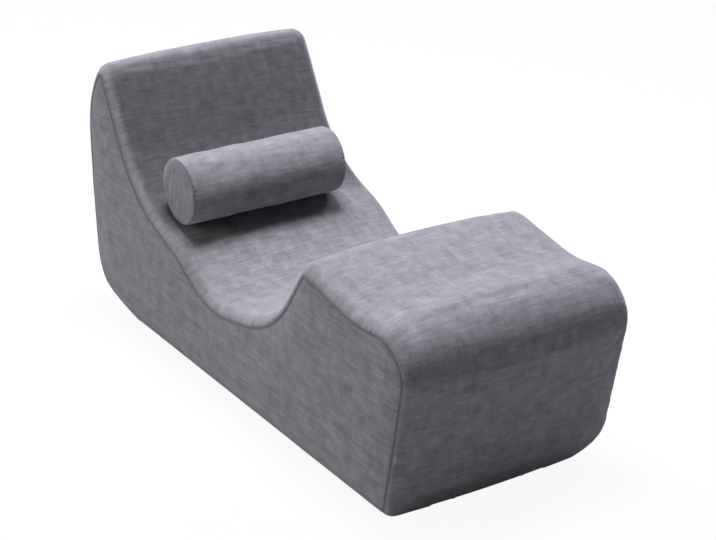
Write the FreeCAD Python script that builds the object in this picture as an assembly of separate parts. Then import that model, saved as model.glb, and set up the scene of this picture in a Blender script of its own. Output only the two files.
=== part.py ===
import FreeCAD, Part
import math
import os

Vector = FreeCAD.Vector
os.makedirs("parts", exist_ok=True)

# Chaise longue: one sculpted upholstered body with a loose bolster lying on it.
# Sizes are in millimetres. +X runs from the backrest to the foot end, +Y across
# the seat and +Z up. The origin is on the floor under the middle of the body.

# Side view of the finished body at mid width.
# Each corner of the outline has its x, its z and the radius that rounds it.
toe_under = (670.0, -60.0, 4.0)
toe_break = (769.0, 60.0, 240.0)
foot_edge = (876.0, 574.0, 114.0)
leg_dip = (620.0, 548.0, 420.0)
knee_crest = (368.0, 594.0, 58.0)
seat_front = (199.0, 351.0, 349.0)
seat_valley = (-130.0, 291.0, 237.0)
seat_rise = (-263.0, 385.0, 380.0)
back_sweep = (-506.0, 460.0, 350.0)
head_front = (-713.0, 837.0, 57.0)
head_rear = (-855.0, 669.0, 334.0)
heel_break = (-821.0, 98.0, 230.0)
heel_under = (-596.0, -60.0, 4.0)
outline_corners = [
    toe_under, toe_break, foot_edge, leg_dip, knee_crest, seat_front, seat_valley,
    seat_rise, back_sweep, head_front, head_rear, heel_break, heel_under,
]

# Body across its width
width = 680.0
crown = 10.0
edge_radius = 34.0
roll_facets = 3
tuck_height = 117.0
tuck_depth = 48.0

# Layers from the outside in: the cover is laminated to a fibre fleece
fleece_thickness = 15.0
cloth_thickness = 1.5
foam_thickness = 40.0
side_foam_thickness = 25.0
deck_thickness = 6.0

# Timber frame
plate_thickness = 15.0
rail_width = 24.0
rail_depth = 42.0
base_board_thickness = 12.0
plinth_width = 40.0
plinth_height = 70.0
lightening_hole_diameter = 120.0
rear_rail_z = 360.0
foot_rail_z = 330.0

# Floor glides
glide_height = 6.0
glide_diameter = 44.0
glide_inset_ends = 150.0
glide_inset_side = 60.0

# Where one foam or deck piece ends and the next begins
head_split_x = -712.0
heel_split_z = 150.0
back_split_x = -330.0
knee_split_x = 235.0
foot_split_z = 430.0

# Loose bolster
bolster_diameter = 197.0
bolster_length = 500.0
bolster_axis_x = -345.0
bolster_middle_y = -50.0
bolster_roll = 9.0
bolster_end_swell = 6.0
bolster_end_flat = 90.0
bolster_fleece = 12.0
rest_clearance = 0.3

# Zip along the bolster, turned away from its resting line
zip_turn = 62.0
zip_length = 400.0
zip_gap_width = 14.0
tape_thickness = 1.0
chain_width = 5.0
chain_height = 2.2
zip_clearance = 0.3
slider_length = 12.0
slider_width = 9.0
slider_wall = 1.1
slider_end_play = 2.0
bridge_width = 2.0
bridge_thickness = 1.0
bridge_end_margin = 1.5
puller_bar_diameter = 1.0
puller_arm_width = 1.4
puller_length = 18.0
puller_eye_length = 6.3

half_width = width / 2
flat_half_width = half_width - edge_radius
edge_drop = crown * (flat_half_width / half_width) ** 2
edge_inset = edge_drop + edge_radius
rim_depth = edge_inset + 5.0
base_z = glide_height
frame_base_z = base_z + cloth_thickness
lining_inset = crown + fleece_thickness
deck_inset = lining_inset + foam_thickness
plate_inset = deck_inset + deck_thickness
lining_half_width = half_width - fleece_thickness
frame_half_width = lining_half_width - side_foam_thickness
rail_half_length = frame_half_width - plate_thickness
plinth_inner_y = rail_half_length - plinth_width
board_top_z = frame_base_z + base_board_thickness
plinth_top_z = board_top_z + plinth_height
far = 3000.0


# Outline of the side view

def offset_corners(corners, inset):
    """Move every side inwards by inset, except the lowest one, and find the new corners."""
    count = len(corners)
    sides = []
    for i in range(count):
        x0, z0 = corners[i][0], corners[i][1]
        x1, z1 = corners[(i + 1) % count][0], corners[(i + 1) % count][1]
        length = math.hypot(x1 - x0, z1 - z0)
        ux, uz = (x1 - x0) / length, (z1 - z0) / length
        shift = 0.0 if i == count - 1 else inset
        sides.append((x0 - uz * shift, z0 + ux * shift, ux, uz))
    moved = []
    for i in range(count):
        ax, az, aux, auz = sides[i - 1]
        bx, bz, bux, buz = sides[i]
        turn = aux * buz - auz * bux
        along = ((bx - ax) * buz - (bz - az) * bux) / turn
        radius = corners[i][2] + (-inset if turn > 0 else inset)
        moved.append((ax + aux * along, az + auz * along, max(radius, 2.0), aux, auz, bux, buz))
    return moved


def fitted_radii(moved):
    """Radius and tangent length at each corner, eased where two arcs would meet on a short side."""
    count = len(moved)
    reaches = []
    for x, z, radius, aux, auz, bux, buz in moved:
        half_turn = abs(math.atan2(aux * buz - auz * bux, aux * bux + auz * buz)) / 2
        reaches.append(radius * math.tan(half_turn))
    shares = []
    for i in range(count):
        j = (i + 1) % count
        length = math.hypot(moved[j][0] - moved[i][0], moved[j][1] - moved[i][1])
        shares.append(min(1.0, 0.97 * length / (reaches[i] + reaches[j])))
    ease = [min(shares[i - 1], shares[i]) for i in range(count)]
    return [(moved[i][2] * ease[i], reaches[i] * ease[i]) for i in range(count)]


def outline_edges(inset, y):
    """Tangent arcs and straight runs of the outline in turn, at one station across the width."""
    moved = offset_corners(outline_corners, inset)
    arcs = []
    for (x, z, _, aux, auz, bux, buz), (radius, reach) in zip(moved, fitted_radii(moved)):
        bisector = math.hypot(radius, reach) - radius
        cx, cz = bux - aux, buz - auz
        norm = math.hypot(cx, cz)
        start = Vector(x - aux * reach, y, z - auz * reach)
        middle = Vector(x + cx / norm * bisector, y, z + cz / norm * bisector)
        end = Vector(x + bux * reach, y, z + buz * reach)
        arcs.append((start, middle, end))
    edges = []
    for i, (start, middle, end) in enumerate(arcs):
        edges.append(Part.Arc(start, middle, end).toShape())
        edges.append(Part.LineSegment(end, arcs[(i + 1) % len(arcs)][0]).toShape())
    return edges


def outline_wire(inset, y):
    return Part.Wire(outline_edges(inset, y))


def surface_height(inset, x):
    """Height of the outline's upper side at one x."""
    plumb = Part.LineSegment(Vector(x, 0, 0), Vector(x, 0, far)).toShape()
    return max(v.Z for v in outline_wire(inset, 0.0).section(plumb).Vertexes)


def surface_reach(inset, z, end):
    """The outline's x at one height, at the foot end (1) or at the rear (-1)."""
    level = Part.LineSegment(Vector(-far, 0, z), Vector(far, 0, z)).toShape()
    return end * max(end * v.X for v in outline_wire(inset, 0.0).section(level).Vertexes)


def box(x0, x1, y0, y1, z0, z1):
    return Part.makeBox(x1 - x0, y1 - y0, z1 - z0, Vector(x0, y0, z0))


def slab(inset, y0, y1):
    """Straight block with the body's side outline, between two planes across the width."""
    return Part.Face(outline_wire(inset, y0)).extrude(Vector(0, y1 - y0, 0))


# Crowned body and its layers

def tuck_cutters(inset):
    """Two long cutters that draw the sides in towards the floor."""
    top_y = half_width - inset
    wires = []
    for side in (-1, 1):
        upper = Vector(-far / 2, side * top_y, tuck_height)
        middle = Vector(-far / 2, side * (top_y - 0.3 * tuck_depth), tuck_height / 2)
        lower = Vector(-far / 2, side * (top_y - tuck_depth), 0)
        below = Vector(-far / 2, side * (top_y - tuck_depth), -far / 10)
        out_low = Vector(-far / 2, side * (half_width + tuck_depth), -far / 10)
        out_high = Vector(-far / 2, side * (half_width + tuck_depth), tuck_height)
        edges = [Part.Arc(upper, middle, lower).toShape()]
        corners = [lower, below, out_low, out_high, upper]
        for a, b in zip(corners, corners[1:]):
            edges.append(Part.LineSegment(a, b).toShape())
        wires.append(Part.Wire(edges))
    return [Part.Face(wire).extrude(Vector(far, 0, 0)) for wire in wires]


def roll_points(radius, y, depth):
    """Points of a rolled edge in even facets, from the crowned face round to the side."""
    angles = [math.radians(90.0 * step / roll_facets) for step in range(roll_facets + 1)]
    return [(y + radius * math.sin(a), depth + radius * (1 - math.cos(a))) for a in angles]


def rim():
    """Outer band of the body: a crowned section with rolled edges, swept round the outline."""
    edges = outline_edges(0.0, 0.0)
    spine = Part.Wire(edges[1:-2])
    start = edges[1].Vertexes[0].Point
    toward = (edges[1].Vertexes[1].Point - start).normalize()
    inward = Vector(-toward.z, 0, toward.x)

    def at(y, depth):
        return start + inward * depth + Vector(0, y, 0)

    section = [Part.Arc(at(-flat_half_width, edge_drop), at(0, 0), at(flat_half_width, edge_drop)).toShape()]
    for side in (-1, 1):
        corners = roll_points(edge_radius, flat_half_width, edge_drop)
        corners.append((half_width, rim_depth))
        points = [at(side * y, depth) for y, depth in corners]
        section += [Part.LineSegment(a, b).toShape() for a, b in zip(points, points[1:])]
    section.append(Part.LineSegment(at(-half_width, rim_depth), at(half_width, rim_depth)).toShape())
    return spine.makePipeShell([Part.Wire(Part.__sortEdges__(section))], True, False)


def crowned_body():
    """The finished body: crowned band, straight middle, sides drawn in towards the floor."""
    body = rim().fuse(slab(rim_depth, -half_width, half_width)).removeSplitter()
    for cutter in tuck_cutters(0.0):
        body = body.cut(cutter)
    return above(body, base_z)


def above(shape, z):
    return shape.cut(box(-far, far, -far, far, -far, z))


def straight_block(inset, y, side_inset):
    """Block under the crown, up to y on both sides, drawn in towards the floor like the body."""
    block = slab(inset, -y, y)
    for cutter in tuck_cutters(side_inset):
        block = block.cut(cutter)
    return above(block, frame_base_z)


outer_body = crowned_body()
lining = straight_block(lining_inset, lining_half_width, fleece_thickness)
side_inset = half_width - frame_half_width
deck_core = straight_block(deck_inset, frame_half_width, side_inset)
plate_core = straight_block(plate_inset, frame_half_width, side_inset)


def between(shape, y0, y1):
    return shape.common(box(-far, far, y0, y1, -far, far))


def within(shape, x0, x1, z0, z1):
    return shape.common(box(x0, x1, -far, far, z0, z1))


def save(shape, name):
    solids = shape.Solids
    result = solids[0] if len(solids) == 1 else Part.makeCompound(solids)
    result.exportStep("parts/" + name + ".step")
    volume = sum(s.Volume for s in solids)
    print(name, len(solids), "solid(s)", round(volume / 1000.0, 1), "cm3")


# Cover: one long panel over the top, two side panels and a base cloth

def cover():
    footprint = within(lining, -far, far, frame_base_z, frame_base_z + cloth_thickness)
    cloth = footprint.translated(Vector(0, 0, -cloth_thickness))
    shell = outer_body.cut(lining).cut(cloth)
    for name, side in (("cover_side_right", -1), ("cover_side_left", 1)):
        near, out = sorted((side * (half_width - 2 * tuck_depth), side * half_width))
        zone = slab(edge_inset, near, out)
        save(shell.common(zone), name)
        shell = shell.cut(zone)
    save(shell, "cover_top_panel")
    save(cloth, "cover_base_cloth")


# Upholstery under the cover

def split_strip(strip, names):
    """Cut a band that follows the outline into rear, backrest, seat, leg rest and foot pieces."""
    rear, back, seat, leg, foot = names
    heel = within(strip, -far, back_split_x, -far, heel_split_z)
    wall = within(strip, -far, head_split_x, heel_split_z, far)
    save(heel.fuse(wall).removeSplitter(), rear)
    save(within(strip, head_split_x, back_split_x, heel_split_z, far), back)
    save(within(strip, back_split_x, knee_split_x, heel_split_z, far), seat)
    save(within(strip, knee_split_x, far, foot_split_z, far).fuse(
        within(strip, knee_split_x, leg_dip[0], heel_split_z, foot_split_z)).removeSplitter(), leg)
    save(within(strip, leg_dip[0], far, heel_split_z, foot_split_z).fuse(
        within(strip, back_split_x, far, -far, heel_split_z)).removeSplitter(), foot)


def upholstery():
    strip = between(lining, -frame_half_width, frame_half_width).cut(deck_core)
    split_strip(strip, ("foam_rear", "foam_backrest", "foam_seat", "foam_legrest", "foam_foot"))
    save(between(lining, -far, -frame_half_width), "foam_side_right")
    save(between(lining, frame_half_width, far), "foam_side_left")


# Timber frame

def cross_rails():
    """Square timber rails close under the decks, and the open notches that the rib has for them."""
    w, d, y = rail_width, rail_depth, rail_half_length
    rails = {}
    notches = []
    for name, x in (("rail_head", -750.0), ("rail_backrest", -600.0), ("rail_lumbar", -430.0),
                    ("rail_seat_rear", -190.0), ("rail_seat_front", 60.0), ("rail_knee", 360.0),
                    ("rail_legrest", 600.0)):
        top = min(surface_height(plate_inset, x), surface_height(plate_inset, x + w))
        rails[name] = box(x, x + w, -y, y, top - d, top)
        notches.append(box(x, x + w, -y, y, top - d, far))
    low = board_top_z
    for name, z0, z1, end, half in (("rail_rear", rear_rail_z, rear_rail_z + d, -1, y),
                                    ("rail_foot", foot_rail_z, foot_rail_z + d, 1, y),
                                    ("rail_heel", low, plinth_top_z, -1, plinth_inner_y),
                                    ("rail_toe", low, plinth_top_z, 1, plinth_inner_y)):
        reach = end * min(end * surface_reach(plate_inset, z, end) for z in (z0, z1))
        inner = reach - end * w
        rails[name] = box(min(reach, inner), max(reach, inner), -half, half, z0, z1)
        notches.append(box(min(end * far, inner), max(end * far, inner), -half, half, z0, z1))
    return rails, notches


def drill(plate, places, y0, y1):
    """Round lightening holes through a plate."""
    radius = lightening_hole_diameter / 2
    for x, z in places:
        plate = plate.cut(Part.makeCylinder(radius, y1 - y0, Vector(x, y0, z), Vector(0, 1, 0)))
    return plate


def frame():
    rails, notches = cross_rails()
    save(within(plate_core, -far, far, -far, board_top_z), "base_board")

    plinth = within(plate_core, -far, far, board_top_z, plinth_top_z)
    save(between(plinth, -rail_half_length, -plinth_inner_y), "plinth_rail_right")
    save(between(plinth, plinth_inner_y, rail_half_length), "plinth_rail_left")

    upper = above(plate_core, board_top_z)
    holes = [(-640.0, 270.0), (-440.0, 230.0), (300.0, 250.0), (480.0, 300.0)]
    for name, y0, y1 in (("side_plate_right", -frame_half_width, -rail_half_length),
                         ("side_plate_left", rail_half_length, frame_half_width)):
        save(drill(between(upper, y0, y1), holes, y0, y1), name)

    half_rib = plate_thickness / 2
    rib = drill(between(upper, -half_rib, half_rib), holes, -half_rib, half_rib)
    save(rib.cut(notches), "centre_rib")
    for name, rail in rails.items():
        save(rail, name)

    decks = deck_core.cut(plate_core)
    split_strip(decks, ("board_rear", "deck_backrest", "deck_seat", "deck_legrest", "board_foot"))


# Glides on the floor

def glides():
    side_y = half_width - tuck_depth - glide_inset_side
    rear_x = surface_reach(0.0, base_z, -1) + glide_inset_ends
    front_x = surface_reach(0.0, base_z, 1) - glide_inset_ends
    pads = [Part.makeCylinder(glide_diameter / 2, glide_height, Vector(x, y, 0))
            for x in (rear_x, (rear_x + front_x) / 2, front_x) for y in (-side_y, side_y)]
    save(Part.makeCompound(pads), "floor_glides")


# Bolster

def bolster_axis():
    """Axis point of the bolster resting on the body, and the unit normal at its contact."""
    reach = bolster_diameter / 2 + rest_clearance
    axis = Vector(bolster_axis_x, 0, surface_height(-reach, bolster_axis_x))
    contact = outline_wire(0.0, 0.0).distToShape(Part.Vertex(axis))[1][0][0]
    return axis, (axis - contact).normalize()


def bolster_outside():
    """Round bolster with rolled edges and slightly swollen ends, about the Y axis."""
    half = bolster_length / 2
    rim_radius = bolster_diameter / 2 - bolster_roll
    rim_y = half - bolster_end_swell
    right = [Vector(0, -half, 0), Vector(bolster_end_flat / 2, -half, 0)]
    right += [Vector(r, depth - rim_y, 0) for r, depth in roll_points(bolster_roll, rim_radius, 0.0)]
    left = [Vector(p.x, -p.y, 0) for p in reversed(right)]
    return Part.Face(Part.makePolygon(right + left + right[:1])).revolve(Vector(0, 0, 0), Vector(0, 1, 0), 360)


def along_y(radius, y0, y1):
    return Part.makeCylinder(radius, y1 - y0, Vector(0, y0, 0), Vector(0, 1, 0))


def place(shape, turn):
    """Turn a piece about the bolster's axis from its resting line and carry it to its place."""
    axis, normal = bolster_axis()
    moved = shape.copy()
    moved.rotate(Vector(0, 0, 0), Vector(0, 1, 0), math.degrees(math.atan2(normal.x, normal.z)) + turn)
    moved.translate(Vector(axis.x, bolster_middle_y, axis.z))
    return moved


# Heights in the zip's channel, from the bolster's lowest line up to the tape
bridge_z = -bolster_diameter / 2
bar_z = bridge_z + bridge_thickness + zip_clearance + puller_bar_diameter / 2
roof_z = bar_z + puller_bar_diameter / 2 + zip_clearance
chain_z = roof_z + slider_wall + zip_clearance
tape_z = chain_z + chain_height
channel_z = tape_z + tape_thickness
slider_start = -zip_length / 2 + slider_end_play
bar_y = slider_start + slider_length / 2


def bolster():
    half = bolster_length / 2
    core_half = half - bolster_fleece
    core = along_y(bolster_diameter / 2 - bolster_fleece, -core_half, core_half)
    channel = box(-zip_gap_width / 2, zip_gap_width / 2, -zip_length / 2, zip_length / 2, -far, channel_z)
    shell = bolster_outside().cut(core).cut(channel)
    seam_radius = bolster_diameter / 2 - bolster_roll
    for name, y0, y1 in (("bolster_end_right", -half, -core_half), ("bolster_end_left", core_half, half)):
        disc = along_y(seam_radius, y0, y1)
        save(place(shell.common(disc), zip_turn), name)
        shell = shell.cut(disc)
    save(place(shell, zip_turn), "bolster_cover_tube")
    save(place(core, zip_turn), "bolster_core")


def zip_pieces():
    """Tape and teeth in the channel, and the slider at the closed end."""
    half = zip_length / 2
    w, c, s = zip_gap_width / 2, chain_width / 2, slider_width / 2
    save(place(box(-w, w, -half, half, tape_z, channel_z), zip_turn), "bolster_zip_tape")
    save(place(box(-c, c, -half, half, chain_z, tape_z), zip_turn), "bolster_zip_teeth")
    end = slider_start + slider_length
    body = box(-s, s, slider_start, end, roof_z, tape_z - zip_clearance)
    track = c + zip_clearance
    body = body.cut(box(-track, track, slider_start, end, chain_z - zip_clearance, far))
    leg0, leg1 = slider_start + bridge_end_margin, end - bridge_end_margin
    bridge = box(-bridge_width / 2, bridge_width / 2, leg0, leg1, bridge_z, roof_z)
    eye = box(-bridge_width / 2, bridge_width / 2, leg0 + bridge_thickness, leg1 - bridge_thickness,
              bridge_z + bridge_thickness, roof_z)
    save(place(body.fuse(bridge.cut(eye)).removeSplitter(), zip_turn), "bolster_zip_slider")


def zip_puller():
    """Flat tab whose eye goes round the slider's bridge and turns on a round bar in it."""
    inner = bridge_width / 2 + zip_clearance
    outer = inner + puller_arm_width
    low, high = bar_z - puller_bar_diameter / 2, bar_z + puller_bar_diameter / 2
    tab = box(-outer, outer, bar_y, bar_y + puller_length, low, high)
    tab = tab.cut(box(-inner, inner, bar_y, bar_y + puller_eye_length, low, high))
    corners = [e for e in tab.Edges if abs(e.Length - puller_bar_diameter) < 0.01
               and e.CenterOfMass.y > bar_y + puller_length - 0.01]
    tab = tab.makeFillet(puller_arm_width, corners)
    bar = Part.makeCylinder(puller_bar_diameter / 2, 2 * outer, Vector(-outer, bar_y, bar_z), Vector(1, 0, 0))
    save(place(tab.fuse(bar), zip_turn), "bolster_zip_puller")


cover()
upholstery()
frame()
glides()
bolster()
zip_pieces()
zip_puller()

# Axes that the moving pieces turn and slide on
axis_point, rest_normal = bolster_axis()
bar_point = place(Part.Vertex(Vector(0, bar_y, bar_z)), zip_turn).Point
bar_end = place(Part.Vertex(Vector(1, bar_y, bar_z)), zip_turn).Point
print("bolster axis", axis_point, "lift along", rest_normal)
print("puller bar", bar_point, "along", bar_end - bar_point)
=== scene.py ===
# %% [markdown]
# # A velvet chaise longue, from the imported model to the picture
# The real object is one sculpted upholstered body, with a raked backrest, a hollow seat and a
# raised leg rest, and a loose round bolster that lies across the foot of the backrest. The packed
# model already fixes every size. What it lacks is what the eye reads as upholstery: soft swollen
# panels, seams that pull the cloth in, pile that catches the light, and a zip that looks like one.
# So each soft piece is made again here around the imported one, and the hard pieces keep their
# shapes and get better finishes.

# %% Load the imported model
import math
import time

import bmesh
import bpy
import numpy as np
from mathutils import Matrix, Vector, noise
from mathutils.kdtree import KDTree


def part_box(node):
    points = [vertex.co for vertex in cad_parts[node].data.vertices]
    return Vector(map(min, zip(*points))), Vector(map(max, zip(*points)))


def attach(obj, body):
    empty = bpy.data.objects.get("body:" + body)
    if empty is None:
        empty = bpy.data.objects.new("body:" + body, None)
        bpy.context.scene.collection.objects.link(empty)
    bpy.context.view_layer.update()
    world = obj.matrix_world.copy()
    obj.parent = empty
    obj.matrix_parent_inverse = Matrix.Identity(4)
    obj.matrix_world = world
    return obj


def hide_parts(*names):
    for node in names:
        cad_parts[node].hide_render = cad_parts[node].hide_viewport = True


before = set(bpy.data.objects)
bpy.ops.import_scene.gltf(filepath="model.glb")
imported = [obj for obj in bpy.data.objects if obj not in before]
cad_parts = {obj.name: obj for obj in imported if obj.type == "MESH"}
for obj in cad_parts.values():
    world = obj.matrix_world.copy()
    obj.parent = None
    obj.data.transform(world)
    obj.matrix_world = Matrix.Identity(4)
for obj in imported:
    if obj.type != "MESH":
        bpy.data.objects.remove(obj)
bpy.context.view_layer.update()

# %% [markdown]
# ## Sizes
# The side view of the body is a ring of corners, each with the radius that rounds it. These are
# the same values as in the part's source, here in metres, so the cloth lands where the foam is.
# The cloth may be softer than the solid, but it may not be bigger.

# %% Outline of the side view
OUTLINE_CORNERS = [
    (0.670, -0.060, 0.004), (0.769, 0.060, 0.240), (0.876, 0.574, 0.114), (0.620, 0.548, 0.420),
    (0.368, 0.594, 0.058), (0.199, 0.351, 0.349), (-0.130, 0.291, 0.237), (-0.263, 0.385, 0.380),
    (-0.506, 0.460, 0.350), (-0.713, 0.837, 0.057), (-0.855, 0.669, 0.334), (-0.821, 0.098, 0.230),
    (-0.596, -0.060, 0.004),
]
HALF_WIDTH = 0.340
CROWN = 0.010
BASE_Z = 0.006
TUCK_HEIGHT = 0.117
TUCK_DEPTH = 0.048
OUTLINE_STEP = 0.006
LOWEST_USED = -0.03
ARC_SHARE = 0.97  # of the straight between two corners, which their arcs may take up


def rounded_outline(step):
    """Points and inward normals round the side view, a step apart, from the toe to the heel."""
    corners = OUTLINE_CORNERS
    count = len(corners)
    ways, reaches = [], []
    for i in range(count):
        a, b = np.array(corners[i][:2]), np.array(corners[(i + 1) % count][:2])
        ways.append((b - a) / np.linalg.norm(b - a))
    for i, (_, _, radius) in enumerate(corners):
        before, after = ways[i - 1], ways[i]
        turn = math.atan2(before[0] * after[1] - before[1] * after[0], before @ after)
        reaches.append(radius * math.tan(abs(turn) / 2))
    shares = []
    for i in range(count):
        length = math.dist(corners[i][:2], corners[(i + 1) % count][:2])
        shares.append(min(1.0, ARC_SHARE * length / (reaches[i] + reaches[(i + 1) % count])))
    path = []
    for i, (x, z, radius) in enumerate(corners):
        ease = min(shares[i - 1], shares[i])
        before, after, corner = ways[i - 1], ways[i], np.array((x, z))
        turn = math.atan2(before[0] * after[1] - before[1] * after[0], before @ after)
        start = corner - before * reaches[i] * ease
        left = np.array((-before[1], before[0])) * math.copysign(1, turn)
        centre = start + left * radius * ease
        pieces = max(2, int(abs(turn) * radius * ease / step) + 1)
        for k in range(pieces + 1):
            angle = turn * k / pieces
            arm = start - centre
            spun = (arm[0] * math.cos(angle) - arm[1] * math.sin(angle),
                    arm[0] * math.sin(angle) + arm[1] * math.cos(angle))
            path.append(centre + spun)
    path = np.array(path)
    # Points at even steps along the path, and the way inwards at each
    gaps = np.r_[0, np.cumsum(np.linalg.norm(np.diff(path, axis=0), axis=1))]
    even = np.arange(0, gaps[-1], step)
    points = np.stack([np.interp(even, gaps, path[:, 0]), np.interp(even, gaps, path[:, 1])], 1)
    along = np.gradient(points, axis=0)
    along /= np.linalg.norm(along, axis=1)[:, None]
    return points, np.stack([-along[:, 1], along[:, 0]], 1)


outline, inward = rounded_outline(OUTLINE_STEP)
above = outline[:, 1] > LOWEST_USED
outline, inward = outline[above], inward[above]
print("outline:", len(outline), "points, x", outline[:, 0].min().round(4), outline[:, 0].max().round(4))

# %% [markdown]
# ## Where the side seams run
# The side panels are flat pieces of cloth sewn to the long top panel. Over the seat, knees and
# backrest the foam's edge is soft, so the seam sits well down the side. Down the foot end the
# cloth is pulled tight round the board behind it and the edge is much sharper, which is why the
# front corner reads as a crisp line. One number per outline point holds that edge radius.

# %% Edge radius along the outline
SOFT_EDGE = 0.034
TIGHT_EDGE = 0.013
FOOT_FROM, FOOT_BELOW = (0.66, 0.80), (0.40, 0.56)
REAR_FROM, REAR_BELOW = (0.70, 0.82), (0.30, 0.60)
REAR_TIGHTNESS = 0.6
FLATTER_FOOT = 0.5
TUCK_CURVE = 1.74


def smooth_step(low, high, x):
    """0 at low, 1 at high and a smooth rise between; low may be the larger of the two."""
    t = np.clip((np.asarray(x) - low) / (high - low), 0, 1)
    return t * t * (3 - 2 * t)


# 1 where the foot end or the rear end is, fading to 0 towards the leg rest and the backrest
foot_zone = smooth_step(*FOOT_FROM, outline[:, 0]) * (1 - smooth_step(*FOOT_BELOW, outline[:, 1]))
rear_zone = smooth_step(*REAR_FROM, -outline[:, 0]) * (1 - smooth_step(*REAR_BELOW, outline[:, 1]))
tightness = np.maximum(foot_zone, REAR_TIGHTNESS * rear_zone)
edge_radius = SOFT_EDGE + (TIGHT_EDGE - SOFT_EDGE) * tightness
crown_here = CROWN * (1 - FLATTER_FOOT * foot_zone)
seam_depth = crown_here + edge_radius
print("seam depth from", seam_depth.min().round(4), "to", seam_depth.max().round(4))


def tuck(z):
    """How far the sides have come in: nothing at the top of the tuck, all of it at the floor."""
    return TUCK_DEPTH * np.clip(1 - np.asarray(z) / TUCK_HEIGHT, 0, 1) ** TUCK_CURVE


# %% [markdown]
# ## A helper for meshes
# Blender keeps a mesh as lists of points and faces. One small function turns such lists into an
# object in the scene, and one reads a finished shape back after its modifiers have run, because
# the next step often starts from the result of the last.

# %% Mesh helpers
scene = bpy.context.scene


def new_piece(name, verts, faces):
    """An object of this name in the scene, from its points and faces."""
    mesh = bpy.data.meshes.new(name)
    mesh.from_pydata([tuple(v) for v in verts], [], faces)
    mesh.update()
    piece = bpy.data.objects.new(name, mesh)
    scene.collection.objects.link(piece)
    return piece


def coordinates(mesh):
    flat = np.empty(len(mesh.vertices) * 3)
    mesh.vertices.foreach_get("co", flat)
    return flat.reshape(-1, 3)


def set_coordinates(mesh, points):
    mesh.vertices.foreach_set("co", np.ascontiguousarray(points).ravel())
    mesh.update()


def normals(mesh):
    flat = np.empty(len(mesh.vertices) * 3)
    mesh.vertices.foreach_get("normal", flat)
    return flat.reshape(-1, 3)


def after_modifiers(piece):
    return piece.evaluated_get(bpy.context.evaluated_depsgraph_get())


def apply_modifiers(piece):
    """Turn what the modifiers make into the piece's own mesh."""
    made = bpy.data.meshes.new_from_object(after_modifiers(piece))
    piece.modifiers.clear()
    old, piece.data = piece.data, made
    bpy.data.meshes.remove(old)
    made.name = piece.name


def remesh(piece, voxel):
    modifier = piece.modifiers.new("even quads", "REMESH")
    modifier.mode = "VOXEL"
    modifier.voxel_size = voxel
    apply_modifiers(piece)


def smooth_shaded(piece):
    for polygon in piece.data.polygons:
        polygon.use_smooth = True


SINK_LIMIT = 0.0005


def inflate(piece, pinned, pressure, cap, frames=20):
    """Blow the cloth up a little with a simulation, then keep at most cap of its movement.

    No point sinks inwards by more than SINK_LIMIT, so that no foam shows through.
    """
    started = time.time()
    rest = coordinates(piece.data)
    group = piece.vertex_groups.new(name="sewn")
    group.add([int(i) for i in np.flatnonzero(pinned)], 1.0, "REPLACE")
    modifier = piece.modifiers.new("stuffing", "CLOTH")
    cloth = modifier.settings
    cloth.quality = 4
    cloth.mass = 0.35
    cloth.tension_stiffness = cloth.compression_stiffness = 25
    cloth.bending_stiffness = 0.8
    cloth.use_pressure = True
    cloth.uniform_pressure_force = pressure
    cloth.effector_weights.gravity = 0
    cloth.vertex_group_mass = "sewn"
    modifier.point_cache.frame_start = 1
    modifier.point_cache.frame_end = frames
    for moment in range(1, frames + 1):
        scene.frame_set(moment)
    move = coordinates(after_modifiers(piece).to_mesh()) - rest
    piece.modifiers.clear()
    piece.vertex_groups.clear()
    facing = normals(piece.data)
    inwards = np.minimum((move * facing).sum(1) + SINK_LIMIT, 0)
    move = move - facing * inwards[:, None]
    length = np.linalg.norm(move, axis=1)
    limit = cap * np.tanh(length / cap) / np.maximum(length, 1e-9)
    set_coordinates(piece.data, rest + move * limit[:, None])
    scene.frame_set(1)
    print(piece.name, "swelled by up to", round(float(length.max()) * 1000, 1), "mm in",
          round(time.time() - started), "s")


# %% [markdown]
# ## The body's cover, as a shape
# The form is one section carried round the outline: a gentle crown across the width, a rolled
# edge, and a flat side. I sweep that section along the outline and close the two sides. Then an
# even voxel mesh replaces it, because a simulation needs squares of one size. The shape
# starts a little small, since the cloth swells outwards from it.

# %% Sweep the body
SWELL_ROOM = 0.0025
CROWN_STEPS = 26
ROLL_STEPS = 7


def section(radius, crown):
    """Half section from the middle out to the side: (y, depth under the outline)."""
    flat = HALF_WIDTH - SWELL_ROOM - radius
    across = np.linspace(0, flat, CROWN_STEPS)
    points = [(y, crown * (y / HALF_WIDTH) ** 2) for y in across]
    drop = points[-1][1]
    for k in range(1, ROLL_STEPS + 1):
        angle = math.pi / 2 * k / ROLL_STEPS
        points.append((flat + radius * math.sin(angle), drop + radius * (1 - math.cos(angle))))
    return points


def swept_body():
    """The section carried along the outline, with both sides and the open underside closed."""
    verts, rows = [], []
    for point, normal, radius, crown in zip(outline, inward, edge_radius, crown_here):
        half = section(radius, crown)
        ring = [(-y, d) for y, d in reversed(half[1:])] + half
        row = []
        for y, depth in ring:
            x, z = point + normal * (depth + SWELL_ROOM)
            row.append(len(verts))
            verts.append((x, y, z))
        rows.append(row)
    faces = []
    for a, b in zip(rows, rows[1:]):
        faces += [(a[k], a[k + 1], b[k + 1], b[k]) for k in range(len(a) - 1)]
    faces.append([row[0] for row in rows])
    faces.append([row[-1] for row in reversed(rows)])
    faces.append(rows[0][::-1] + rows[-1])
    return new_piece("chaise_cover", verts, faces)


VOXEL = 0.0115
cover = swept_body()
remesh(cover, VOXEL)
print("cover:", len(cover.data.vertices), "points after the even mesh")

# %% [markdown]
# ## Cutting the base flat, and knowing where each point lies
# The sweep runs below the floor, so that its lower edge comes out clean, and one cut takes that
# away. After it, every point is matched to the nearest point of the outline. That
# gives two numbers that the rest needs: how far along the long panel it lies, and how far down
# from the outline it sits, which tells the top panel from the sides.

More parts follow.
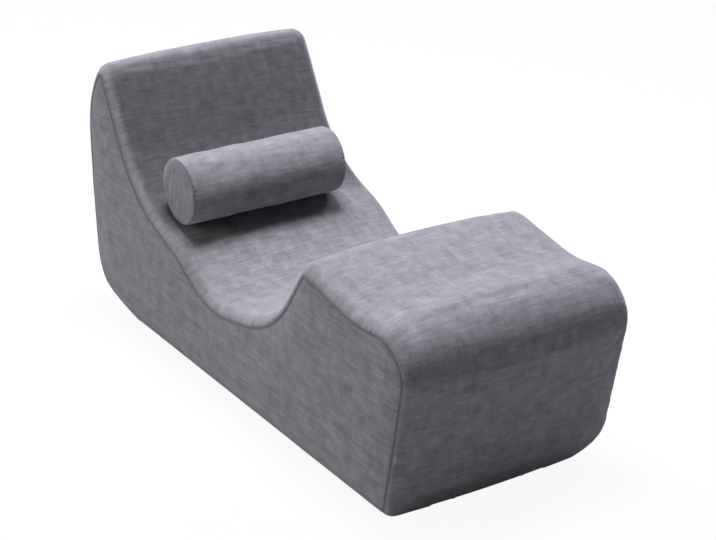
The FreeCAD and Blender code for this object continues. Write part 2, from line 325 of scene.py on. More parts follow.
# %% Cut the base and measure every point
def cut_below(piece, height):
    """Cut away what lies below a height and close the cut with a flat face."""
    work = bmesh.new()
    work.from_mesh(piece.data)
    cut = bmesh.ops.bisect_plane(work, geom=work.verts[:] + work.edges[:] + work.faces[:],
                                 plane_co=(0, 0, height), plane_no=(0, 0, 1), clear_inner=True)
    rim = [e for e in cut["geom_cut"] if isinstance(e, bmesh.types.BMEdge)]
    bmesh.ops.triangle_fill(work, edges=rim, use_beauty=True, normal=(0, 0, -1))
    bmesh.ops.recalc_face_normals(work, faces=work.faces[:])
    work.to_mesh(piece.data)
    work.free()
    piece.data.update()


cut_below(cover, BASE_Z)

tree = KDTree(len(outline))
for i, (x, z) in enumerate(outline):
    tree.insert((x, 0, z), i)
tree.balance()


def measure(points):
    """Nearest outline index for each point, and its depth below the outline there."""
    nearest = np.array([tree.find((p[0], 0, p[2]))[1] for p in points])
    offset = points[:, [0, 2]] - outline[nearest]
    depth = (offset * inward[nearest]).sum(1)
    return nearest, depth


nearest, depth = measure(coordinates(cover.data))
print("depth below the outline:", depth.min().round(4), "to", depth.max().round(4))

# %% [markdown]
# ## Stuffing the body
# The foam pushes the cloth out everywhere except where it is sewn or stapled. A cloth simulation
# with a little air pressure does just that: the seam lines and the base stay pinned, and the
# panels between them swell. Only a few millimetres are kept, since this cover is drawn tight.

# %% Simulate the body's cover
NEARLY = 0.002
PINNED_BAND = 0.8 * VOXEL
on_side = np.abs(coordinates(cover.data)[:, 1]) > HALF_WIDTH - SWELL_ROOM - NEARLY
near_seam = on_side & (np.abs(depth - SWELL_ROOM - seam_depth[nearest]) < PINNED_BAND)
at_base = coordinates(cover.data)[:, 2] < BASE_Z + NEARLY
inflate(cover, near_seam | at_base, pressure=4, cap=0.006)

# %% [markdown]
# ## Drawing the sides in, and the marks of hand work
# Near the floor the sides come in under the body, so every point there moves towards the middle
# by the same share. No hand-made cover is perfectly even either, so slow noise moves the surface
# by about a millimetre. The seam then pulls in a shallow valley along its line, and the bolster's
# weight presses a trough where it rests.

# %% Shape the body's cover
BOLSTER_RADIUS = 0.0985
BOLSTER_AXIS = np.array((-0.345, 0.0, 0.5137359))
BOLSTER_MIDDLE_Y = -0.050
BOLSTER_HALF = 0.250
REST_NORMAL = np.array((0.3089315, 0.0, 0.9510843))
BROAD_WAVE, FINE_WAVE = 0.0006, 0.0002
SEAM_WIDTH, SEAM_SINK = 0.0050, 0.0020
TROUGH_ROOM, TROUGH_END_ROOM = 0.0012, 0.012


def wander(points, size, seed):
    """Slow noise between -1 and 1 at each point, for features of the given size in metres."""
    shift = Vector((seed * 7.3, seed * 3.1, seed * 5.7))
    return np.array([noise.noise(Vector(p) / size + shift) for p in points]) * 2


def subdivided(piece, levels):
    modifier = piece.modifiers.new("finer", "SUBSURF")
    modifier.levels = modifier.render_levels = levels
    apply_modifiers(piece)


subdivided(cover, 1)
points = coordinates(cover.data)
facing = normals(cover.data)
nearest, depth = measure(points)
lift = BROAD_WAVE * wander(points, 0.20, 1) + FINE_WAVE * wander(points, 0.07, 2)
side_face = smooth_step(HALF_WIDTH - 0.03, HALF_WIDTH - 0.010, np.abs(points[:, 1]))
seam_gap = depth - seam_depth[nearest] - SWELL_ROOM * 0.5
groove = np.exp(-(seam_gap / SEAM_WIDTH) ** 2) * side_face
lift -= SEAM_SINK * groove
above_base = smooth_step(BASE_Z, BASE_Z + 0.02, points[:, 2])
points = points + facing * (lift * above_base)[:, None]

# The trough under the bolster
arm = points - BOLSTER_AXIS
arm[:, 1] = 0
away = np.linalg.norm(arm, axis=1)
over = (BOLSTER_RADIUS + TROUGH_ROOM) - away
along_it = np.abs(points[:, 1] - BOLSTER_MIDDLE_Y) < BOLSTER_HALF + TROUGH_END_ROOM
pressed = (over > 0) & along_it
points[pressed] += (arm[pressed] / away[pressed, None]) * over[pressed, None]
print("pressed points under the bolster:", int(pressed.sum()))

points[:, 1] *= 1 - tuck(points[:, 2]) / HALF_WIDTH
points[:, 2] = np.maximum(points[:, 2], BASE_Z)
set_coordinates(cover.data, points)

# %% [markdown]
# ## Telling the finish where it is
# Velvet has a direction: the pile lies along the cloth's length, and the loom's lines run across
# it. On the long panel that length follows the outline, so two numbers are stored with each
# point: the way along the cloth and the way across it. A side panel is cut from the same roll
# and simply uses height and length.

# %% Store cloth coordinates on the cover
ALONG = np.r_[0, np.cumsum(np.linalg.norm(np.diff(outline, axis=0), axis=1))]
# Where on the roll of cloth the other panels are cut, so that no two patterns repeat
SIDE_ROLL, TUBE_ROLL, DISC_ROLL = 5.0, 9.0, 12.0
ALWAYS_SIDE = 0.06


def store(piece, name, values):
    layer = piece.data.attributes.new(name, "FLOAT_VECTOR", "POINT")
    layer.data.foreach_set("vector", np.ascontiguousarray(values, dtype=np.float32).ravel())


def store_number(piece, name, values):
    layer = piece.data.attributes.new(name, "FLOAT", "POINT")
    layer.data.foreach_set("value", np.ascontiguousarray(values, dtype=np.float32))


tangent = np.stack([inward[:, 1], -inward[:, 0]], 1)
offset = points[:, [0, 2]] - outline[nearest]
along = ALONG[nearest] + (offset * tangent[nearest]).sum(1)
past_seam = (depth > seam_depth[nearest] + SWELL_ROOM * 0.5) & (side_face > 0.5)
side_panel = past_seam | (depth > ALWAYS_SIDE)
run = np.where(side_panel, points[:, 2] + SIDE_ROLL, along)
across = np.where(side_panel, points[:, 0], points[:, 1])
store(cover, "cloth", np.stack([run, across, np.abs(points[:, 1])], 1))
# The groove is stored too, to paint shade into the cloth along the seam's valley
store_number(cover, "seam", groove)

# Painted shade down the backrest and painted light in the seat's hollow: the colour is scaled by place
# on the body, fading out near the floor
BACKREST_PAINTED_SHADE, HOLLOW_PAINTED_LIGHT = 0.56, 0.08
BACKREST_FOOT, BACKREST_HEAD = (-0.30, -0.42), (-0.745, -0.66)
HOLLOW_REAR, HOLLOW_FRONT = (-0.30, -0.20), (0.34, 0.20)
PAINTED_TONE_FADE = (0.2, 0.26)
x_here, z_here = points[:, 0], points[:, 2]
on_top = 1 - side_face
backrest_painted_shade = smooth_step(*BACKREST_FOOT, x_here) * smooth_step(*BACKREST_HEAD, x_here) * on_top
hollow_painted_light = smooth_step(*HOLLOW_REAR, x_here) * smooth_step(*HOLLOW_FRONT, x_here) * on_top
above_floor = smooth_step(*PAINTED_TONE_FADE, z_here)
store_number(cover, "painted_light_shade", 1 + (HOLLOW_PAINTED_LIGHT * hollow_painted_light - BACKREST_PAINTED_SHADE * backrest_painted_shade) * above_floor)
smooth_shaded(cover)
print("cover:", len(cover.data.vertices), "points,", len(cover.data.polygons), "faces")

# %% [markdown]
# ## The bolster
# A bolster is a tube of cloth with a round end sewn into each side. The tube swells between its
# seams and the ends bulge a little, so each end shows a crisp ring. It is turned on a lathe in
# code, as rings of points about an axis, then stuffed by the same simulation as the body.

# %% Turn the bolster
RINGS = 84
ROUND = 160
END_RADIUS = BOLSTER_RADIUS - 0.006
END_STEPS = 14
END_BULGE = 0.003
END_ROOM, TUBE_ROOM = 0.0055, 0.0035  # for the swelling of the ends and of the tube
SEAM_BAND, SEAM_REACH = 0.002, 0.012


def bolster_profile():
    """(distance from the axis, distance along it) from one end's middle to the other's."""
    half = BOLSTER_HALF - END_ROOM
    ends = []
    for k in range(END_STEPS):
        ends.append((END_RADIUS * k / END_STEPS, half + END_BULGE * (1 - (k / END_STEPS) ** 2)))
    ends += [(END_RADIUS, half - 0.001), (END_RADIUS + 0.0015, half - 0.0045)]
    tube = [(BOLSTER_RADIUS - TUBE_ROOM, (half - 0.008) * (1 - 2 * k / RINGS))
            for k in range(RINGS + 1)]
    return ends + tube + [(r, -y) for r, y in reversed(ends)]


def turned(name, profile, count):
    """A lathe: the profile turned about the y axis in count steps, with a hub at each end."""
    verts, faces = [], []
    for r, y in profile[1:-1]:
        for k in range(count):
            angle = 2 * math.pi * k / count
            verts.append((r * math.cos(angle), y, r * math.sin(angle)))
    rows = len(profile) - 2
    for i in range(rows - 1):
        for k in range(count):
            j = (k + 1) % count
            faces.append((i * count + k, i * count + j, (i + 1) * count + j, (i + 1) * count + k))
    for y, row in ((profile[0][1], 0), (profile[-1][1], rows - 1)):
        verts.append((0, y, 0))
        hub = len(verts) - 1
        for k in range(count):
            a, b = row * count + k, row * count + (k + 1) % count
            faces.append((hub, b, a) if row == 0 else (hub, a, b))
    return new_piece(name, verts, faces)


bolster = turned("bolster_cover", bolster_profile(), ROUND)
points = coordinates(bolster.data)
radius = np.hypot(points[:, 0], points[:, 2])
at_end = np.abs(points[:, 1]) > BOLSTER_HALF - SEAM_REACH
sewn = (np.abs(radius - END_RADIUS) < SEAM_BAND) & at_end
inflate(bolster, sewn, pressure=4, cap=0.004)
print("bolster:", len(bolster.data.vertices), "points")

# %% [markdown]
# ## Puckers and a resting flat
# Stuffed cloth gathers into many small puckers along its end seams, and a soft bolster settles
# flat by a few millimetres where it lies. Both are moves of the points by simple waves and by
# distance from the resting line, which keeps them even and lets me choose their size.

# %% Shape the bolster and put it in its place
PUCKERS, PUCKER_SWAY = 46, 7
PUCKER_DEPTH, PUCKER_MIDDLE, PUCKER_REACH = 0.0016, 0.008, 0.016
FLAT_DEPTH = 0.006
RING_SHADE_WIDTH = 0.0022

points = coordinates(bolster.data)
radius = np.hypot(points[:, 0], points[:, 2])
angle = np.arctan2(points[:, 2], points[:, 0])
from_end = BOLSTER_HALF - np.abs(points[:, 1])
tube = radius > END_RADIUS + 0.001
puckers = 0.5 + 0.5 * np.sin(angle * PUCKERS + 1.6 * np.sin(angle * PUCKER_SWAY))
near_end = np.exp(-((from_end - PUCKER_MIDDLE) / PUCKER_REACH) ** 2)
pull = PUCKER_DEPTH * near_end * puckers * tube
slow = 0.0012 * wander(points, 0.11, 3) + 0.0006 * wander(points, 0.04, 4)
push = np.where(radius > 0.02, slow - pull, 0)
outward = np.stack([points[:, 0], np.zeros(len(points)), points[:, 2]], 1)
outward = outward / np.maximum(radius, 0.001)[:, None]
points = points + outward * push[:, None]
flat_line = -(BOLSTER_RADIUS - 0.0004)
settled = np.exp((points[:, 2] - flat_line - FLAT_DEPTH) / FLAT_DEPTH)
points[:, 2] = np.where(points[:, 2] < flat_line + FLAT_DEPTH, flat_line + FLAT_DEPTH * settled,
                        points[:, 2])
turn = math.atan2(REST_NORMAL[0], REST_NORMAL[2])
middle = (BOLSTER_AXIS[0], BOLSTER_MIDDLE_Y, BOLSTER_AXIS[2])
place = Matrix.Translation(middle) @ Matrix.Rotation(turn, 4, "Y")
cloth_run = np.stack([angle * BOLSTER_RADIUS + TUBE_ROLL, points[:, 1], radius], 1)
disc = radius < END_RADIUS + 0.0005
cloth_run[disc] = np.stack([points[disc, 0] + DISC_ROLL, points[disc, 2], radius[disc]], 1)
store(bolster, "cloth", cloth_run)
# The bolster gets no painted light or shade
store_number(bolster, "painted_light_shade", np.ones(len(points)))
# Painted shade in a narrow band along each end seam
ring = np.exp(-((radius - END_RADIUS) / RING_SHADE_WIDTH) ** 2)
store_number(bolster, "seam", ring * (from_end < 0.02))
set_coordinates(bolster.data, points)
smooth_shaded(bolster)
bolster.data.transform(place)
subdivided(bolster, 1)

# %% [markdown]
# ## The camera
# The corners of the object in the photograph fix where the camera stood: how far round, how high,
# how far away, and how long its lens is. Those few numbers, with the picture's width in pixels,
# give the same view here. FRAME_SHIFT moves it by as much as the model's frame was moved.

# %% Camera at the photograph's angle
AZIMUTH, ELEVATION = math.radians(57.36), math.radians(23.98)
FOCAL_PX, ACROSS, UP, DISTANCE = 2011.0, -0.4488, -0.0615, 6.1846
PICTURE_WIDTH = 716
SENSOR_WIDTH = 36
FRAME_SHIFT = 0.720

right = Vector((math.cos(AZIMUTH), math.sin(AZIMUTH), 0))
up = Vector((-math.sin(AZIMUTH) * math.sin(ELEVATION), math.cos(AZIMUTH) * math.sin(ELEVATION),
             math.cos(ELEVATION)))
back = Vector((math.sin(AZIMUTH) * math.cos(ELEVATION), -math.cos(AZIMUTH) * math.cos(ELEVATION),
               math.sin(ELEVATION)))
stand = -ACROSS * right - UP * up + DISTANCE * back - Vector((FRAME_SHIFT, 0, 0))
camera = bpy.data.objects.new("camera", bpy.data.cameras.new("camera"))
camera.data.sensor_width = SENSOR_WIDTH
camera.data.lens = FOCAL_PX / PICTURE_WIDTH * SENSOR_WIDTH
camera.matrix_world = Matrix.Translation(stand) @ Matrix((right, up, back)).transposed().to_4x4()
scene.collection.objects.link(camera)
scene.camera = camera
print("camera at", [round(v, 3) for v in stand], "lens", round(camera.data.lens, 1))

# %% [markdown]
# ## The zip
# The bolster's cover comes off through a zip, which is turned towards the backrest so that nobody
# sits on it. The tape lies at the bottom of a narrow opening in the cloth. I cut that opening out
# of the stuffed shape with a box, then lay two rows of coil teeth along it. The slider and its
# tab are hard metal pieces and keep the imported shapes.

# %% Open the cover over the zip
ZIP_TURN = math.radians(62)
ZIP_LENGTH = 0.400
ZIP_GAP = 0.014
CHANNEL_DEPTH = 0.0072


BOX_FACES = ((0, 1, 3, 2), (4, 6, 7, 5), (0, 4, 5, 1), (2, 3, 7, 6), (0, 2, 6, 4), (1, 5, 7, 3))
zip_place = place @ Matrix.Rotation(ZIP_TURN, 4, "Y")


def box_corners(low, high):
    xs, ys, zs = zip(low, high)
    return [(x, y, z) for x in xs for y in ys for z in zs]


def carve(piece, tool):
    """Cut the tool's shape out of the piece and throw the tool away."""
    modifier = piece.modifiers.new("opening", "BOOLEAN")
    modifier.operation = "DIFFERENCE"
    modifier.solver = "EXACT"
    modifier.object = tool
    apply_modifiers(piece)
    bpy.data.objects.remove(tool)


opening_low = (-ZIP_GAP / 2, -ZIP_LENGTH / 2, -BOLSTER_RADIUS - 0.01)
opening_high = (ZIP_GAP / 2, ZIP_LENGTH / 2, -BOLSTER_RADIUS + CHANNEL_DEPTH + 0.0005)
opening = new_piece("zip_opening", box_corners(opening_low, opening_high), BOX_FACES)
opening.data.transform(zip_place)
carve(bolster, opening)
print("bolster:", len(bolster.data.vertices), "points with its zip opening")

# %% Coil teeth in two rows
TOOTH_PITCH = 0.0022
TOOTH_WIDTH, TOOTH_LENGTH, TOOTH_HEIGHT = 0.0016, 0.0012, 0.0019
TOOTH_SIDES = 8
INNER_BEAD, OUTER_BEAD = 0.0006, 0.0019
teeth_low, teeth_high = -BOLSTER_RADIUS + 0.0041, -BOLSTER_RADIUS + 0.0062


def coil_teeth():
    """Each turn of the coil shows as two short beads, by turns right and left of the middle."""
    verts, faces = [], []
    count = int(ZIP_LENGTH / TOOTH_PITCH) - 2
    middle = (teeth_low + teeth_high) / 2
    for k in range(count):
        side = 1 if k % 2 else -1
        y = -ZIP_LENGTH / 2 + TOOTH_PITCH * (k + 1.5)
        for x, width in ((side * INNER_BEAD, TOOTH_WIDTH), (side * OUTER_BEAD, TOOTH_WIDTH * 0.7)):
            start = len(verts)
            for i in range(TOOTH_SIDES):
                turn_by = 2 * math.pi * i / TOOTH_SIDES
                dy = TOOTH_LENGTH * 0.5 * math.cos(turn_by)
                dz = TOOTH_HEIGHT * 0.5 * math.sin(turn_by)
                verts.append((x - width / 2, y + dy, middle + dz))
                verts.append((x + width / 2, y + dy, middle + dz))
            for i in range(TOOTH_SIDES):
                j = (i + 1) % TOOTH_SIDES
                faces.append((start + 2 * i, start + 2 * i + 1, start + 2 * j + 1, start + 2 * j))
            faces.append([start + 2 * i for i in reversed(range(TOOTH_SIDES))])
            faces.append([start + 2 * i + 1 for i in range(TOOTH_SIDES)])
    return new_piece("zip_teeth", verts, faces)


teeth = coil_teeth()
teeth.data.transform(zip_place)
print("zip teeth:", len(teeth.data.polygons), "faces")

# %% [markdown]
# ## The underside
# Nobody sees it in the picture, but whoever turns the model over does. A black dust cloth closes
# the base, held by staples along its border, and the velvet ends beside it. The cloth is a thin
# sheet with a little sag between the staples.

# %% Dust cloth and staples
CLOTH_LOW, CLOTH_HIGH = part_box("cover_base_cloth")
cloth_half_y = CLOTH_HIGH[1] - 0.004
cloth_x = (CLOTH_LOW[0] + 0.006, CLOTH_HIGH[0] - 0.006)
CLOTH_LEVELS = (0.0012, 0.0003)  # its two faces, below the base
SAG = 0.0004
STAPLE_PITCH, STAPLE_EDGE = 0.045, 0.010
STAPLE_THICK, STAPLE_LONG = 0.0004, 0.0048  # half sizes


def dust_cloth():
    across, length = 33, 75
    verts, faces = [], []
    for level in CLOTH_LEVELS:
        for i in range(length):
            for j in range(across):
                x = cloth_x[0] + (cloth_x[1] - cloth_x[0]) * i / (length - 1)
                y = -cloth_half_y + 2 * cloth_half_y * j / (across - 1)
                edge = min(i, j, length - 1 - i, across - 1 - j)
                ripple = SAG * math.sin(i * 1.05) * math.sin(j * 1.3) if edge > 1 else 0
                verts.append((x, y, BASE_Z - level + min(0, ripple)))
    layer = across * length
    for i in range(length - 1):
        for j in range(across - 1):
            a = i * across + j
            quad = (a, a + across, a + across + 1, a + 1)
            faces.append(quad[::-1])
            faces.append(tuple(v + layer for v in quad))
    border = [i * across for i in range(length)]
    border += [(length - 1) * across + j for j in range(1, across)]
    border += [i * across + across - 1 for i in reversed(range(length - 1))]
    border += list(reversed(range(1, across - 1)))
    for a, b in zip(border, border[1:] + border[:1]):
        faces.append((a, b, b + layer, a + layer))
    return new_piece("dust_cloth", verts, faces)


def staples():
    """One row of staples along each side of the dust cloth, STAPLE_EDGE in from its border."""
    verts, faces = [], []
    low, high = BASE_Z - 0.0018, BASE_Z - 0.0008
    lengthwise = np.arange(cloth_x[0] + 0.03, cloth_x[1] - 0.02, STAPLE_PITCH)
    crosswise = np.arange(-cloth_half_y + 0.03, cloth_half_y - 0.02, STAPLE_PITCH)
    spots = []
    for side in (-1, 1):
        y = side * (cloth_half_y - STAPLE_EDGE)
        spots += [(x, y, STAPLE_LONG, STAPLE_THICK) for x in lengthwise]
    for x in (cloth_x[0] + STAPLE_EDGE, cloth_x[1] - STAPLE_EDGE):
        spots += [(x, y, STAPLE_THICK, STAPLE_LONG) for y in crosswise]
    for x, y, half_x, half_y in spots:
        start = len(verts)
        verts += box_corners((x - half_x, y - half_y, low), (x + half_x, y + half_y, high))
        faces += [[start + v for v in face] for face in BOX_FACES]
    return new_piece("base_staples", verts, faces)


dust = dust_cloth()
staple_rows = staples()
print("staples:", len(staple_rows.data.polygons) // len(BOX_FACES))

# %% [markdown]
# ## Side seams
# The two layers of cloth meet in a fold that is too narrow for the mesh, and what the eye sees is
# a thin dark line in a shallow valley. A fine dark cord lies along that line as painted shade for
# the fold, just under the cloth's surface, and follows the same points as the valley does.

# %% Seam lines
CORD_THICKNESS = 0.0006
CORD_INSET = 0.0026


def seam_path(side):
    path = []
    for point, normal, down in zip(outline, inward, seam_depth):
        x, z = point + normal * (down + SWELL_ROOM * 0.5)
        if z < BASE_Z + 0.003:
            continue
        y = side * (HALF_WIDTH - CORD_INSET) * (1 - float(tuck(z)) / HALF_WIDTH)
        path.append((x, y, z))
    return path


def seam_cord(name, path):
    curve = bpy.data.curves.new(name, "CURVE")
    curve.dimensions = "3D"
    curve.bevel_depth = CORD_THICKNESS
    curve.bevel_resolution = 2
    line = curve.splines.new("POLY")
    line.points.add(len(path) - 1)
    for knot, spot in zip(line.points, path):
        knot.co = (*spot, 1)
    cord = bpy.data.objects.new(name, curve)
    scene.collection.objects.link(cord)
    return cord


seams = [seam_cord("seam_right", seam_path(-1)), seam_cord("seam_left", seam_path(1))]
print("seams:", len(seams), "of", len(seams[0].data.splines[0].points), "points")

# %% [markdown]
# ## Finishes
# A finish is a small network of nodes. One function adds a node, sets its values and joins it up,
# and each finish is then a short list of such lines. Colours are written as the sRGB hex values
# that a paint chart would use, and one function turns them into the linear numbers that the
# renderer works with. Patterns take their scale from a real size in millimetres.

# %% Node and colour helpers
def linear(hex_colour):
    """The renderer's numbers for an sRGB hex colour."""
    parts = [int(hex_colour[i:i + 2], 16) / 255 for i in (1, 3, 5)]
    return [c / 12.92 if c <= 0.04045 else ((c + 0.055) / 1.055) ** 2.4 for c in parts] + [1.0]


def add(tree, kind, links=(), **settings):
    """Add a node. Settings name its properties or sockets; links are (source socket, socket)."""
    node = tree.nodes.new(kind)
    for name, value in settings.items():
        if hasattr(node, name):
            setattr(node, name, value)
        else:
            node.inputs[name.replace("_", " ")].default_value = value
    for source, target in links:
        tree.links.new(source, node.inputs[target])
    return node


def per_metre(millimetres):
    """Noise or wave scale for features of this size."""
    return 1000.0 / millimetres


def finish(name, **shader):
    material = bpy.data.materials.new(name)
    material.use_nodes = True
    tree = material.node_tree
    body = tree.nodes["Principled BSDF"]
    for socket, value in shader.items():
        body.inputs[socket.replace("_", " ")].default_value = value
    return material, tree, body


# %% [markdown]
# ### Velvet
# The cover is a short-pile cotton velvet in mid grey. Pile stands on end, so it looks dark where
# the eye looks straight into it and pale where light grazes it: that is the sheen. Hands and
# sitting lay the pile over in soft patches some centimetres wide, which is the mottling. The
# loom leaves faint lines across the cloth. Real threads and tufts are finer than a pixel of the
# picture, so the lines are drawn 7 mm wide and the tufts 2.4 mm, as coarse as they need to show.

# %% Velvet
PATCH_MM, LOOM_MM, PILE_MM = 42, 7, 2.4
ALONG_THE_LINES = (1.0, 0.07, 0.07)


def ramp(tree, source, low, high, dark, light):
    node = add(tree, "ShaderNodeValToRGB", [(source, 0)])
    node.color_ramp.elements[0].position = low
    node.color_ramp.elements[1].position = high
    node.color_ramp.elements[0].color = dark
    node.color_ramp.elements[1].color = light
    return node.outputs["Color"]


def velvet():
    material, tree, body = finish("short_pile_velvet_woven", Roughness=0.92, Specular_IOR_Level=0.12,
                                  Sheen_Weight=0.45, Sheen_Roughness=0.4)
    body.inputs["Sheen Tint"].default_value = linear("#D9DCEB")
    place_on_cloth = add(tree, "ShaderNodeAttribute", attribute_name="cloth").outputs["Vector"]
    patches = add(tree, "ShaderNodeTexNoise", [(place_on_cloth, "Vector")],
                  Scale=per_metre(PATCH_MM), Detail=6.0, Roughness=0.66).outputs["Fac"]
    stretched = add(tree, "ShaderNodeMapping", [(place_on_cloth, "Vector")], Scale=ALONG_THE_LINES)
    loom = add(tree, "ShaderNodeTexNoise", [(stretched.outputs[0], "Vector")],
               Scale=per_metre(LOOM_MM), Detail=4.0, Roughness=0.6).outputs["Fac"]
    pile = add(tree, "ShaderNodeTexNoise", [(place_on_cloth, "Vector")],
               Scale=per_metre(PILE_MM), Detail=3.0, Roughness=0.7).outputs["Fac"]
    seam = add(tree, "ShaderNodeAttribute", attribute_name="seam").outputs["Fac"]
    painted_light_shade = add(tree, "ShaderNodeAttribute", attribute_name="painted_light_shade").outputs["Fac"]
    # The patches' own grey, darkened in turn by the loom lines, the tufts and painted shade along the
    # seams
    colour = ramp(tree, patches, 0.30, 0.72, linear("#7B7B7D"), linear("#9C9C9E"))
    for shade in (ramp(tree, loom, 0.28, 0.74, linear("#D2D2D2"), linear("#FFFFFF")),
                  ramp(tree, pile, 0.30, 0.75, linear("#D6D6D6"), linear("#FFFFFF")),
                  ramp(tree, seam, 0.35, 1.0, linear("#FFFFFF"), linear("#C4C4C4"))):
        mixed = add(tree, "ShaderNodeMix", [(colour, 6), (shade, 7)],
                    data_type="RGBA", blend_type="MULTIPLY", Factor=1.0)
        colour = mixed.outputs[2]
    # Painted shade on the backrest and painted light in the hollow, from the stored multiplier
    painted_tone = add(tree, "ShaderNodeVectorMath", [(colour, 0), (painted_light_shade, "Scale")], operation="SCALE")
    tree.links.new(painted_tone.outputs[0], body.inputs["Base Color"])
    height = add(tree, "ShaderNodeMath", [(loom, 0), (pile, 1)], operation="ADD")
    bump = add(tree, "ShaderNodeBump", [(height.outputs[0], "Height")], Strength=0.5, Distance=0.0012)
    tree.links.new(bump.outputs[0], body.inputs["Normal"])
    return material


VELVET = velvet()

# %% [markdown]
# ### The plain finishes
# The rest is hidden or small: spun dust cloth, polyurethane foam, birch plywood, planed softwood,
# moulded polyethylene, polyester tape, nylon coil, zinc casting and steel staples. Each gets its
# base colour, its typical roughness, and one pattern at a real size. The cloths and the foam look
# dull and soft, the woods show a long grain, and only the zinc and the steel gleam.

# %% Plain finishes
def patterned(name, hex_dark, hex_light, size_mm, stretch=(1, 1, 1), bump_mm=0.2, **shader):
    """A finish of two close colours in a noise of this size, with a bump of this height."""
    material, tree, body = finish(name, **shader)
    where = add(tree, "ShaderNodeTexCoord").outputs["Object"]
    mapped = add(tree, "ShaderNodeMapping", [(where, "Vector")], Scale=stretch)
    grain = add(tree, "ShaderNodeTexNoise", [(mapped.outputs[0], "Vector")],
                Scale=per_metre(size_mm), Detail=4.0, Roughness=0.6)
    colour = ramp(tree, grain.outputs["Fac"], 0.3, 0.7, linear(hex_dark), linear(hex_light))
    tree.links.new(colour, body.inputs["Base Color"])
    bump = add(tree, "ShaderNodeBump", [(grain.outputs["Fac"], "Height")], Strength=0.4,
               Distance=bump_mm / 1000)
    tree.links.new(bump.outputs[0], body.inputs["Normal"])
    return material


DUST_CLOTH = patterned("spun_polypropylene_dust_cloth", "#141416", "#202023", 3, Roughness=0.95,
                       Specular_IOR_Level=0.15)
# Dark grey for the seam cord, painted shade standing in for the fold's shadow
SEAM_SHADE_CORD = patterned("dark_cord_painted_seam_shade", "#48484C", "#58585C", 1.5, Roughness=0.8)
FOAM = patterned("open_cell_polyurethane_foam", "#CDBB86", "#E2D3A4", 4, bump_mm=1.0, Roughness=0.95)
PLYWOOD = patterned("birch_plywood_cut", "#B48B5C", "#D2AD7D", 9, (0.12, 1, 1), Roughness=0.6)
SOFTWOOD = patterned("planed_softwood", "#B99467", "#D9B88A", 8, (1, 0.1, 1), Roughness=0.55)
POLYETHYLENE = patterned("moulded_polyethylene", "#101012", "#17171A", 1.2, bump_mm=0.05,
                         Roughness=0.45)
ZIP_TAPE = patterned("woven_polyester_tape", "#37373C", "#4A4A50", 1.2, (1, 0.3, 1), Roughness=0.85)
NYLON = patterned("extruded_nylon_coil", "#3A3A3F", "#45454B", 2, bump_mm=0.03, Roughness=0.4)
ZINC = patterned("nickel_plated_zinc_casting", "#9A9A9C", "#B4B4B6", 3, bump_mm=0.03, Roughness=0.3,
                 Metallic=1.0)
STEEL = patterned("galvanised_steel_wire", "#8D9093", "#A5A8AB", 2, bump_mm=0.02, Roughness=0.35,
                  Metallic=1.0)


def dress(piece, material):
    piece.data.materials.clear()
    piece.data.materials.append(material)


WOOD_BOARDS = ("base_board", "side_plate_right", "side_plate_left", "centre_rib", "board_rear",
               "deck_backrest", "deck_seat", "deck_legrest", "board_foot")
for node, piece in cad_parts.items():
    if node.startswith("foam") or node == "bolster_core":
        dress(piece, FOAM)
    elif node in WOOD_BOARDS:
        dress(piece, PLYWOOD)
    elif node.startswith(("rail", "plinth")):
        dress(piece, SOFTWOOD)
dress(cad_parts["floor_glides"], POLYETHYLENE)
dress(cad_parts["bolster_zip_tape"], ZIP_TAPE)
dress(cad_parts["bolster_zip_slider"], ZINC)
dress(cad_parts["bolster_zip_puller"], ZINC)
for piece, material in ((cover, VELVET), (bolster, VELVET), (dust, DUST_CLOTH),
                        (staple_rows, STEEL), (teeth, NYLON), (seams[0], SEAM_SHADE_CORD),
                        (seams[1], SEAM_SHADE_CORD)):
    dress(piece, material)
print("materials:", len(bpy.data.materials))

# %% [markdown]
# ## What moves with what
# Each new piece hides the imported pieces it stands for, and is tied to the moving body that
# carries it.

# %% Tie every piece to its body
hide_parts("cover_top_panel", "cover_side_right", "cover_side_left")
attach(cover, "chaise")
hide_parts("cover_base_cloth")
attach(dust, "chaise")
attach(staple_rows, "chaise")
for seam in seams:
    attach(seam, "chaise")
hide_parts("bolster_cover_tube", "bolster_end_right", "bolster_end_left")
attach(bolster, "bolster")
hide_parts("bolster_zip_teeth")
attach(teeth, "bolster")

# %% [markdown]
# ## Floor and light
# The picture is a cut-out on white, so the floor and the world are white to the camera and only
# hardly lit for everything else. The main soft lamp hangs overhead, so the tops are bright and the
# foot end is in its own shade. Weaker ones behind, beyond the far side and on the near side keep
# the other faces readable.

# %% Floor, world and lamps
def seen_by_eye(tree):
    """1 for rays of the camera, and of gloss and glass, and 0 for the light that falls on things."""
    paths = add(tree, "ShaderNodeLightPath")
    seen = paths.outputs["Is Camera Ray"]
    for ray in ("Is Glossy Ray", "Is Transmission Ray"):
        larger = add(tree, "ShaderNodeMath", [(seen, 0), (paths.outputs[ray], 1)], operation="MAXIMUM")
        seen = larger.outputs[0]
    return seen


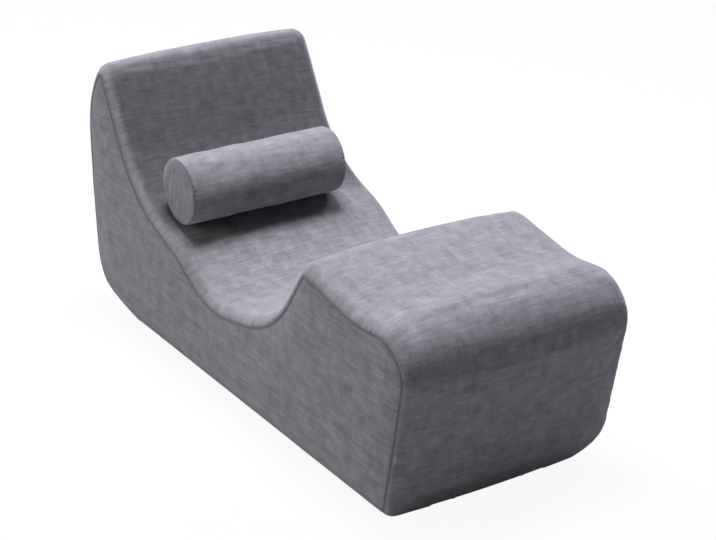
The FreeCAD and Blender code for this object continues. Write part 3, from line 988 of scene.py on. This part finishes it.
FLOOR_HALF = 9
FLOOR_GLOW = 0.93
floor_corners = [(-FLOOR_HALF, -FLOOR_HALF, 0), (FLOOR_HALF, -FLOOR_HALF, 0),
                 (FLOOR_HALF, FLOOR_HALF, 0), (-FLOOR_HALF, FLOOR_HALF, 0)]
floor = new_piece("floor", floor_corners, [(0, 1, 2, 3)])
floor_material = bpy.data.materials.new("matt_white_floor")
floor_material.use_nodes = True
tree = floor_material.node_tree
tree.nodes.clear()
matt = add(tree, "ShaderNodeBsdfDiffuse", Color=linear("#C4C4C4"))
glow = add(tree, "ShaderNodeEmission", Color=(1, 1, 1, 1), Strength=1.0)
share = add(tree, "ShaderNodeMath", [(seen_by_eye(tree), 0)], operation="MULTIPLY")
share.inputs[1].default_value = FLOOR_GLOW
mix = add(tree, "ShaderNodeMixShader",
          [(share.outputs[0], 0), (matt.outputs[0], 1), (glow.outputs[0], 2)])
add(tree, "ShaderNodeOutputMaterial", [(mix.outputs[0], "Surface")])
dress(floor, floor_material)

world = bpy.data.worlds.new("studio")
scene.world = world
world.use_nodes = True
tree = world.node_tree
tree.nodes.clear()
soft = add(tree, "ShaderNodeBackground", Color=linear("#EEF0F6"), Strength=0.05)
white = add(tree, "ShaderNodeBackground", Color=(1, 1, 1, 1), Strength=1.0)
mix = add(tree, "ShaderNodeMixShader",
          [(seen_by_eye(tree), 0), (soft.outputs[0], 1), (white.outputs[0], 2)])
add(tree, "ShaderNodeOutputWorld", [(mix.outputs[0], "Surface")])


LAMP_SIZE = 2.0
LAMP_AIM = Vector((0, 0, 0.4))


def soft_lamp(name, place_at, power, hex_colour):
    lamp = bpy.data.objects.new(name, bpy.data.lights.new(name, "AREA"))
    lamp.data.shape = "DISK"
    lamp.data.size = LAMP_SIZE
    lamp.data.energy = power
    lamp.data.color = linear(hex_colour)[:3]
    lamp.location = place_at
    lamp.rotation_euler = (LAMP_AIM - Vector(place_at)).to_track_quat("-Z", "Y").to_euler()
    scene.collection.objects.link(lamp)


COOL_WHITE, WARM_WHITE = "#F2F3FF", "#FFFAF4"
soft_lamp("overhead", (-0.3, 0.0, 5.5), 455, COOL_WHITE)
soft_lamp("behind", (-4.2, 0.0, 4.0), 200, COOL_WHITE)
soft_lamp("far_side", (-0.4, 3.7, 4.5), 130, COOL_WHITE)
soft_lamp("near_side", (-0.5, -5.0, 2.5), 95, WARM_WHITE)
scene.view_settings.view_transform = "Standard"
